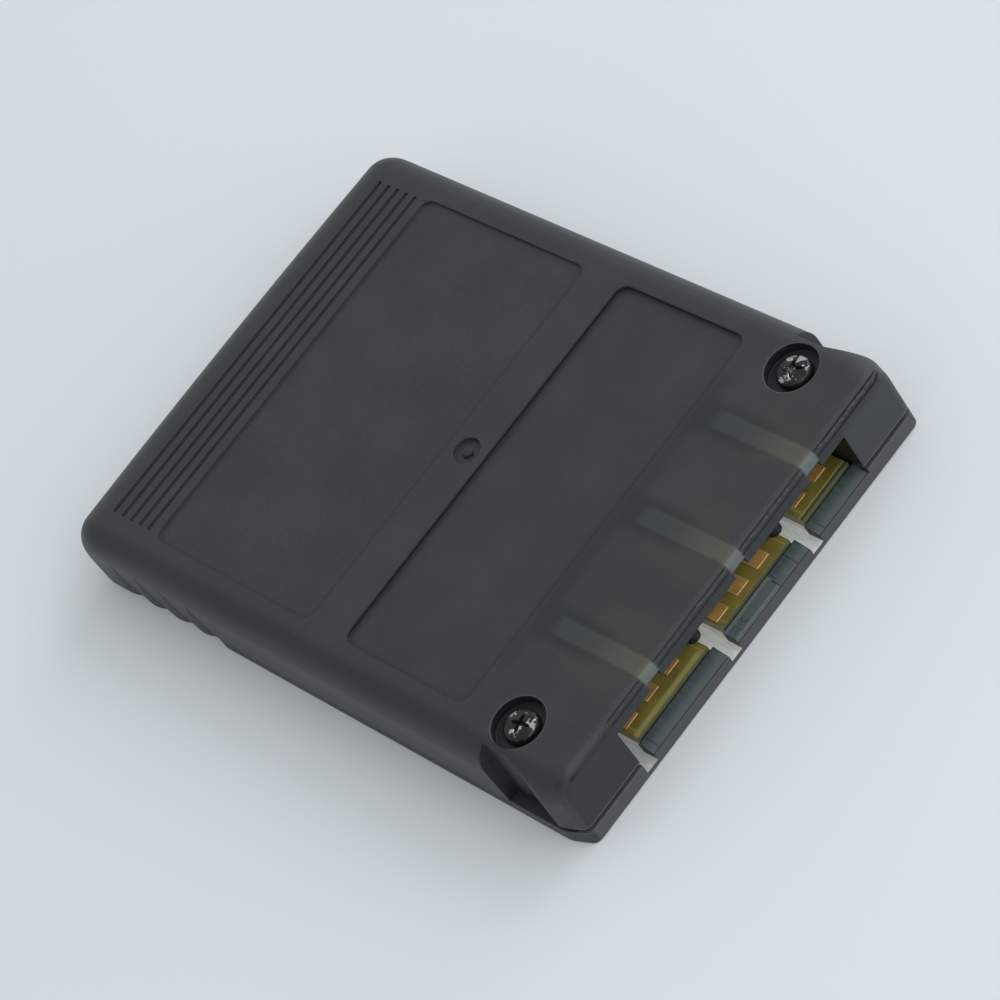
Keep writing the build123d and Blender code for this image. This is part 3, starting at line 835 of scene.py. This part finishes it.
def mould_mark_material():
    """Dark plastic of the edge flash and the gate stub, a little glossier than the case; on the flash the
    darker tone is painted shade along the front edge.
    """
    finish = Finish("mould mark plastic", ior=1.5)
    cloud, grain, height = finish.grain(0.8, 9.0)
    # Darker than the case: on the edge flash this is painted shade along the front edge
    finish.paint(finish.blend(cloud, (0.012, 0.015, 0.016), (0.022, 0.025, 0.026)))
    finish.roughen(finish.ramp(grain, 0.0, 1.0, 0.26, 0.42))
    finish.relief(height, 0.01 * MM, 0.02 * MM)
    return finish.material


def tin_ends(finish, body, tone, grain):
    """Lays a colour on a part's body and bare tinned metal on its ends or leads."""
    tinned = finish.blend(grain, (0.5, 0.5, 0.48), (0.62, 0.62, 0.6))
    finish.paint(finish.blend(body, tinned, tone))
    finish.feed(finish.surface.inputs["Metallic"], finish.without(body))


def chip_material():
    """Black moulded packages, with tinned leads outside their bodies."""
    finish = Finish("chip plastic", ior=1.5)
    cloud, grain, height = finish.grain(0.6, 11.0)
    low = board_high[2] * PER_MM
    lead_reach = 1.0
    bodies = []
    end_reaches = {"memory_chip": 0.0, "controller_chip": lead_reach, "voltage_regulator": 0.0}
    for name, end_reach in end_reaches.items():
        near, far = (np.array(corner) * PER_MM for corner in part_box(name))
        in_x = end_reach - 0.05
        in_y = lead_reach - 0.05
        along = finish.band(finish.x, near[0] + in_x, far[0] - in_x, 0.02)
        across = finish.band(finish.y, near[1] + in_y, far[1] - in_y, 0.02)
        bodies.append(finish.product(along, across))
    body = finish.greatest(*bodies)
    package = finish.blend(cloud, (0.012, 0.012, 0.013), (0.02, 0.02, 0.022))
    tin_ends(finish, body, package, grain)
    finish.roughen(finish.ramp(finish.z, low, low + 1.5, 0.4, 0.62))
    finish.relief(height, 0.006 * MM, 0.05 * MM)
    return finish.material


def crystal_material():
    """Drawn metal can with fine lengthwise brushing."""
    finish = Finish("crystal can", metallic=1.0)
    cloud, _, height = finish.grain(0.5, 12.0)
    brushed = finish.noise(finish.stretched(finish.place, (0.4, 7.0, 7.0)), 2.0)
    finish.paint(finish.blend(cloud, (0.55, 0.55, 0.54), (0.66, 0.66, 0.64)))
    finish.roughen(finish.ramp(brushed, 0.2, 0.8, 0.22, 0.4))
    finish.relief(height, 0.003 * MM, 0.06 * MM)
    return finish.material


def ceramic_material(name, tone, node):
    """Ceramic body between two tinned ends, told apart by the distance from the part's middle."""
    cap = 0.35
    low, high = (np.array(corner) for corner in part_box(node))
    middle = (low[0] + high[0]) / 2 * PER_MM
    reach = (high[0] - low[0]) / 2 * PER_MM - cap
    finish = Finish(name, ior=1.5)
    cloud, grain, height = finish.grain(1.2, 14.0)
    body = finish.band(finish.x, middle - reach, middle + reach, 0.02)
    darker = [0.75 * part for part in tone]
    clay = finish.blend(cloud, darker, tone)
    tin_ends(finish, body, clay, grain)
    finish.roughen(finish.ramp(grain, 0.0, 1.0, 0.35, 0.5))
    finish.relief(height, 0.004 * MM, 0.04 * MM)
    return finish.material


def screw_profile(settings, seat, length_down):
    """Radii and heights of a pan-head screw from the middle of its crown to its point.

    The crown falls with the square of the radius. Then come a quarter-round shoulder, the head's side, its
    underside, the plain shank and a rounded point. The third result is true for the steps on the crown.
    """
    shoulder = 0.45 * MM
    flat = settings.head_radius - shoulder
    top = seat + settings.head_height
    crown_radii = np.linspace(0, flat, 90)
    crown_heights = top - settings.crown * (crown_radii / flat) ** 2
    bend = np.linspace(0, math.pi / 2, 14)[1:]
    bend_radii = flat + shoulder * np.sin(bend)
    bend_heights = top - settings.crown - shoulder * (1 - np.cos(bend))
    under_radii = np.array([settings.head_radius, settings.head_radius, settings.shank_radius])
    under_heights = np.array([seat + 0.04 * MM, seat, seat])
    tip = np.linspace(0, math.pi / 2, 8)
    tail_radii = settings.shank_radius * np.cos(tip)
    tail_heights = seat - length_down + settings.shank_radius * 0.6 * (1 - np.sin(tip))
    radii = np.concatenate((crown_radii, bend_radii, under_radii, tail_radii))
    heights = np.concatenate((crown_heights, bend_heights, under_heights, tail_heights))
    on_crown = np.arange(len(radii)) < len(crown_radii)
    return radii, heights, on_crown


def cross_recess(settings, radius, angle):
    """Depth of the cross recess: the greater of two bars at right angles.

    Each bar is a product of soft steps across and along it, and is narrower towards its ends.
    """
    half_width = settings.recess_width / 2
    half_length = settings.recess_length / 2
    wall = 0.1 * MM
    end_slope = 0.4 * MM
    taper = 0.14
    bars = []
    for quarter in (0, math.pi / 2):
        along = np.abs(radius * np.cos(angle - quarter))
        across = np.abs(radius * np.sin(angle - quarter))
        within_width = 1 - smooth_step(half_width - wall, half_width, across + taper * along)
        within_length = 1 - smooth_step(half_length - end_slope, half_length, along)
        bars.append(within_width * within_length)
    return np.maximum(*bars) * settings.recess_depth


def screw_points(settings, x, y, seat, length_down, turn):
    """One pan-head screw: its profile turned about its axis on a polar grid, less the recess in its crown."""
    radii, heights, on_crown = screw_profile(settings, seat, length_down)
    angles = np.linspace(0, TURN, 192, endpoint=False)
    radius, angle = np.meshgrid(radii, angles, indexing="ij")
    depth = np.where(on_crown[:, None], cross_recess(settings, radius, angle), 0.0)
    height = heights[:, None] - depth
    return np.stack((x + radius * np.cos(angle + turn), y + radius * np.sin(angle + turn), height), axis=-1)


def flash_points(settings):
    """The ragged ridge at the front edge: a half-sine section carried along the rounded edge.

    The section's crest height is the greatest height times a ragged line of its place along the edge, faded
    at both ends and at the roof strips, and weaker to the left. Each section point is set out from the
    rounded edge along its own normal, and the two rims lie just under the surface, so the ridge grows out of
    it. Past the flat top, the section turns about the axis of the rounded side and follows the corner down.
    """
    along = np.linspace(settings.flash_left, settings.flash_right, 900)
    section = np.linspace(-1, 1, 11)
    place, offset = np.meshgrid(along, section, indexing="ij")
    waves = (0.31, 0.73, 1.17, 1.9, 2.7)
    rough = 0.55 + 0.45 * ragged(place * PER_MM, 3, waves)
    rightness = smooth_step(-14 * MM, 14 * MM, place)
    ends = smooth_step(settings.flash_left, settings.flash_left + 1.0 * MM, place)
    ends = ends * (1 - smooth_step(settings.flash_right - 0.8 * MM, settings.flash_right, place))
    gaps = [smooth_step(0.75 * MM, 1.05 * MM, np.abs(place - centre * MM)) for centre in strip_centres]
    crest = np.clip(rough, 0.06, 1.0) * (0.35 + 0.65 * rightness) * ends * np.prod(gaps, axis=0)
    wander = 0.06 * MM * ragged(place * PER_MM, 8, (0.21, 0.47, 0.9))
    arc = settings.edge_radius * settings.flash_angle + wander + offset * settings.flash_width / 2
    angle = arc / settings.edge_radius
    sunk = 0.015 * MM
    lift = settings.flash_height * crest * np.cos(offset * math.pi / 2) - sunk
    reach = settings.edge_radius + lift
    middle_x = case_high[0] - settings.edge_radius
    flat = np.minimum(angle, 0.0) * settings.edge_radius
    bent = np.maximum(angle, 0.0)
    front_limit = case_high[0] - 0.002 * MM
    x = np.minimum(middle_x + flat + reach * np.sin(bent), front_limit)
    over = np.maximum(place - (case_high[1] - side_radius), 0.0)
    tilt = over / side_radius
    ring = np.minimum(side_radius - settings.edge_radius + reach * np.cos(bent), side_radius)
    y = place - over + ring * np.sin(tilt)
    z = case_high[2] - side_radius + ring * np.cos(tilt)
    return np.stack((x, y, z), axis=-1)


def rim_points(low, high, width, height):
    """A raised rim round a pad: a rounded section carried round a rectangle with small round corners.

    The path is the superellipse of power 16 between the pad's edges. The section is a circle squashed to the
    rim's width and height, with its lower part cut flat just under the pad's top.
    """
    angles = np.linspace(0, TURN, 128, endpoint=False)
    section = np.linspace(0, TURN, 10, endpoint=False)
    angle, turn = np.meshgrid(angles, section, indexing="ij")
    middle = (low + high) / 2
    half = (high - low) / 2 - width / 2
    power = 2 / 16
    unit_x = np.sign(np.cos(angle)) * np.abs(np.cos(angle)) ** power
    unit_y = np.sign(np.sin(angle)) * np.abs(np.sin(angle)) ** power
    spread = width / 2 * np.cos(turn)
    x = middle[0] + unit_x * (half[0] + spread)
    y = middle[1] + unit_y * (half[1] + spread)
    sunk = 0.01 * MM
    z = high[2] - sunk + np.maximum(np.sin(turn), -0.3) * height
    return np.stack((x, y, z), axis=-1)


def stub_points(settings):
    """The torn stub in the gate dimple: a polar dome whose rim and broken top wander with the angle."""
    angles = np.linspace(0, TURN, 96, endpoint=False)
    steps = np.linspace(0, 1, 28)
    step, angle = np.meshgrid(steps, angles, indexing="ij")
    turn = angle / TURN
    rim = 1 + 0.12 * np.sin(TURN * 3 * turn + 0.6) + 0.07 * np.sin(TURN * 7 * turn)
    radius = settings.stub_radius * rim * step**0.7
    fall = 1 - smooth_step(0.45, 1.0, step)
    waves = 0.25 * np.sin(TURN * 2 * turn + 1.0) + 0.12 * np.sin(TURN * 5 * turn + 9 * step)
    broken = 1 + waves * step
    floor = case_high[2] - settings.gate_depth - 0.02 * MM
    height = floor + settings.stub_height * np.clip(fall * broken, 0.0, 1.0)
    middle_x = case_high[0] - settings.gate_setback + 0.1 * MM
    middle_y = -0.08 * MM
    return np.stack((middle_x + radius * np.cos(angle), middle_y + radius * np.sin(angle), height), axis=-1)


def joined(grids):
    """Several equal grids as one run of points and faces; each grid's last column joins its first."""
    rows, columns = grids[0].shape[:2]
    faces = grid_faces(rows, columns, True)
    count = rows * columns
    points = np.concatenate([grid.reshape(-1, 3) for grid in grids])
    return points, np.concatenate([faces + index * count for index in range(len(grids))])


def weld(piece, distance):
    """Joins doubled points, such as a grid's pole or seam, and turns the faces outwards."""
    form = bmesh.new()
    form.from_mesh(piece.data)
    bmesh.ops.remove_doubles(form, verts=form.verts, dist=distance)
    bmesh.ops.recalc_face_normals(form, faces=form.faces)
    form.to_mesh(piece.data)
    form.free()
    piece.data.update()


class CARD_OT_finish_case(Operator):
    """Give the two case halves their smoked plastic"""

    bl_idname = "card.finish_case"
    bl_label = "Finish Case"

    def execute(self, context):
        settings = context.scene.memory_card.plastic
        dress(["upper_shell"], upper_shell_material(settings))
        dress(["lower_shell"], lower_shell_material(settings))
        return {"FINISHED"}


class CARD_OT_finish_board(Operator):
    """Give the circuit board and its pads their lacquer and plating, and raise a rim round each pad"""

    bl_idname = "card.finish_board"
    bl_label = "Finish Board"

    def execute(self, context):
        settings = context.scene.memory_card.contacts
        dress(["circuit_board"], board_material(settings))
        dress(pad_names, gold_material("pad plating", settings.plating_colour, 0.34))
        # Painted highlight: the rims get a brighter gold than the pads
        bright = gold_material("pad rim plating", settings.rim_highlight_colour, 0.24)
        rims = []
        for name in pad_names:
            low, high = (np.array(corner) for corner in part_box(name))
            rims.append(rim_points(low, high, settings.rim_width, settings.rim_height))
        closed = [np.concatenate((rim, rim[:1])) for rim in rims]
        points, faces = joined(closed)
        piece = mesh_piece("pad_rims", points, faces, bright)
        weld(piece, 0.0005 * MM)
        return {"FINISHED"}


class CARD_OT_finish_components(Operator):
    """Give the chips, the crystal and the small parts on the board their finishes"""

    bl_idname = "card.finish_components"
    bl_label = "Finish Components"

    def execute(self, context):
        dress(["memory_chip", "controller_chip", "voltage_regulator"], chip_material())
        dress(["clock_crystal"], crystal_material())
        tan = ceramic_material("capacitor ceramic", (0.3, 0.2, 0.12), capacitor_names[0])
        black = ceramic_material("resistor ceramic", (0.03, 0.03, 0.035), resistor_names[0])
        dress(capacitor_names, tan)
        dress(resistor_names, black)
        return {"FINISHED"}


class CARD_OT_build_screws(Operator):
    """Build the two pan-head case screws with their cross recesses"""

    bl_idname = "card.build_screws"
    bl_label = "Build Screws"

    def execute(self, context):
        settings = context.scene.memory_card.screws
        x = (screw_low[0] + screw_high[0]) / 2
        y = screw_high[1] - settings.head_radius
        seat = screw_high[2] - settings.head_height
        down = seat - screw_low[2]
        grids = [
            screw_points(settings, x, y, seat, down, settings.right_turn),
            screw_points(settings, x, -y, seat, down, settings.left_turn),
        ]
        points, faces = joined(grids)
        piece = mesh_piece("pan_head_screws", points, faces, screw_material(settings))
        weld(piece, 0.001 * MM)
        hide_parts("case_screws")
        return {"FINISHED"}


class CARD_OT_build_mould_marks(Operator):
    """Build the ragged flash along the front edge and the torn stub in the gate dimple"""

    bl_idname = "card.build_mould_marks"
    bl_label = "Build Mould Marks"

    def execute(self, context):
        settings = context.scene.memory_card.mould
        material = mould_mark_material()
        flash = flash_points(settings)
        faces = grid_faces(flash.shape[0], flash.shape[1], False)
        mesh_piece("front_edge_flash", flash, faces, material)
        stub = stub_points(settings)
        faces = grid_faces(stub.shape[0], stub.shape[1], True)
        piece = mesh_piece("gate_stub", stub, faces, material)
        weld(piece, 0.001 * MM)
        return {"FINISHED"}


def floor_material(settings):
    """Pale matt floor with a faint mottle."""
    finish = Finish("studio floor", roughness=0.9, ior=1.3)
    faint = finish.noise(finish.place, 0.01)
    paler = [min(1.0, 1.02 * part) for part in settings.floor_colour]
    finish.paint(finish.blend(faint, settings.floor_colour, paler))
    return finish.material


def set_floor(scene, settings):
    """A wide pale square just under the card."""
    half = 2.0
    level = cad_bounds[0][2] - 0.02 * MM
    corners = np.array(
        [(-half, -half, level), (half, -half, level), (half, half, level), (-half, half, level)]
    )
    mesh = bpy.data.meshes.new("studio_floor")
    mesh.from_pydata(corners, [], [(0, 1, 2, 3)])
    mesh.materials.append(floor_material(settings))
    floor = bpy.data.objects.new("studio_floor", mesh)
    scene.collection.objects.link(floor)


def area_lamp(scene, name, place, size, power):
    """A square soft lamp that shines on the card from its place."""
    lamp = bpy.data.lights.new(name, "AREA")
    lamp.energy = power
    lamp.size = size
    holder = bpy.data.objects.new(name, lamp)
    holder.location = place
    holder.rotation_euler = (-Vector(place)).to_track_quat("-Z", "Y").to_euler()
    scene.collection.objects.link(holder)


def set_light(scene, settings):
    """An even sky and two soft lamps."""
    world = bpy.data.worlds.new("studio")
    world.use_nodes = True
    sky = world.node_tree.nodes["Background"]
    sky.inputs["Color"].default_value = (0.97, 0.99, 1.0, 1.0)
    sky.inputs["Strength"].default_value = settings.sky_strength
    scene.world = world
    area_lamp(scene, "key lamp", (0.6, 0.2, 0.4), 0.9, settings.key_power)
    area_lamp(scene, "fill lamp", (0.05, 0.6, 0.35), 0.5, settings.fill_power)


def set_camera(scene, settings):
    """A long-lens camera that looks from its place at its aim, rolled about its line of sight."""
    camera = bpy.data.cameras.new("photo camera")
    camera.lens = settings.lens
    camera.sensor_width = 36.0
    camera.clip_start = 0.01
    camera.clip_end = 20.0
    place = Vector(settings.camera_place)
    forward = (Vector(settings.camera_aim) - place).normalized()
    level_side = forward.cross(Vector((0, 0, 1))).normalized()
    level_up = level_side.cross(forward)
    up = math.cos(settings.roll) * level_up + math.sin(settings.roll) * level_side
    right = forward.cross(up)
    turn = Matrix((right, up, -forward)).transposed().to_4x4()
    holder = bpy.data.objects.new("photo camera", camera)
    holder.matrix_world = Matrix.Translation(place) @ turn
    scene.collection.objects.link(holder)
    scene.camera = holder


class CARD_OT_set_stage(Operator):
    """Set up the pale floor, the soft light and the camera"""

    bl_idname = "card.set_stage"
    bl_label = "Set Stage"

    def execute(self, context):
        scene = context.scene
        settings = scene.memory_card.stage
        scene.view_settings.view_transform = "Standard"
        set_floor(scene, settings)
        set_light(scene, settings)
        set_camera(scene, settings)
        return {"FINISHED"}


class CARD_PT_dressing(Panel):
    """Lists the card's settings and the operators that dress it"""

    bl_idname = "CARD_PT_dressing"
    bl_label = "Memory Card"
    bl_space_type = "VIEW_3D"
    bl_region_type = "UI"
    bl_category = "Memory Card"

    def draw(self, context):
        for operator in operators:
            self.layout.operator(operator.bl_idname)
        card = context.scene.memory_card
        for part in ("plastic", "contacts", "screws", "mould", "stage"):
            box = self.layout.box()
            group = getattr(card, part)
            for key in group.__annotations__:
                box.prop(group, key)


operators = (
    CARD_OT_finish_case,
    CARD_OT_finish_board,
    CARD_OT_finish_components,
    CARD_OT_build_screws,
    CARD_OT_build_mould_marks,
    CARD_OT_set_stage,
)
setting_groups = (
    CardPlasticSettings,
    CardContactSettings,
    CardScrewSettings,
    CardMouldSettings,
    CardStageSettings,
    CardSettings,
)


def register():
    """Registers the settings, the operators and the panel."""
    for item in (*setting_groups, *operators, CARD_PT_dressing):
        bpy.utils.register_class(item)
    bpy.types.Scene.memory_card = PointerProperty(type=CardSettings)


def unregister():
    """Takes the settings, the operators and the panel away again."""
    del bpy.types.Scene.memory_card
    for item in reversed((*setting_groups, *operators, CARD_PT_dressing)):
        bpy.utils.unregister_class(item)


def main():
    """Dresses the card."""
    register()
    bpy.ops.card.finish_case()
    bpy.ops.card.finish_board()
    bpy.ops.card.finish_components()
    bpy.ops.card.build_screws()
    bpy.ops.card.build_mould_marks()
    bpy.ops.card.set_stage()


if __name__ == "__main__":
    main()
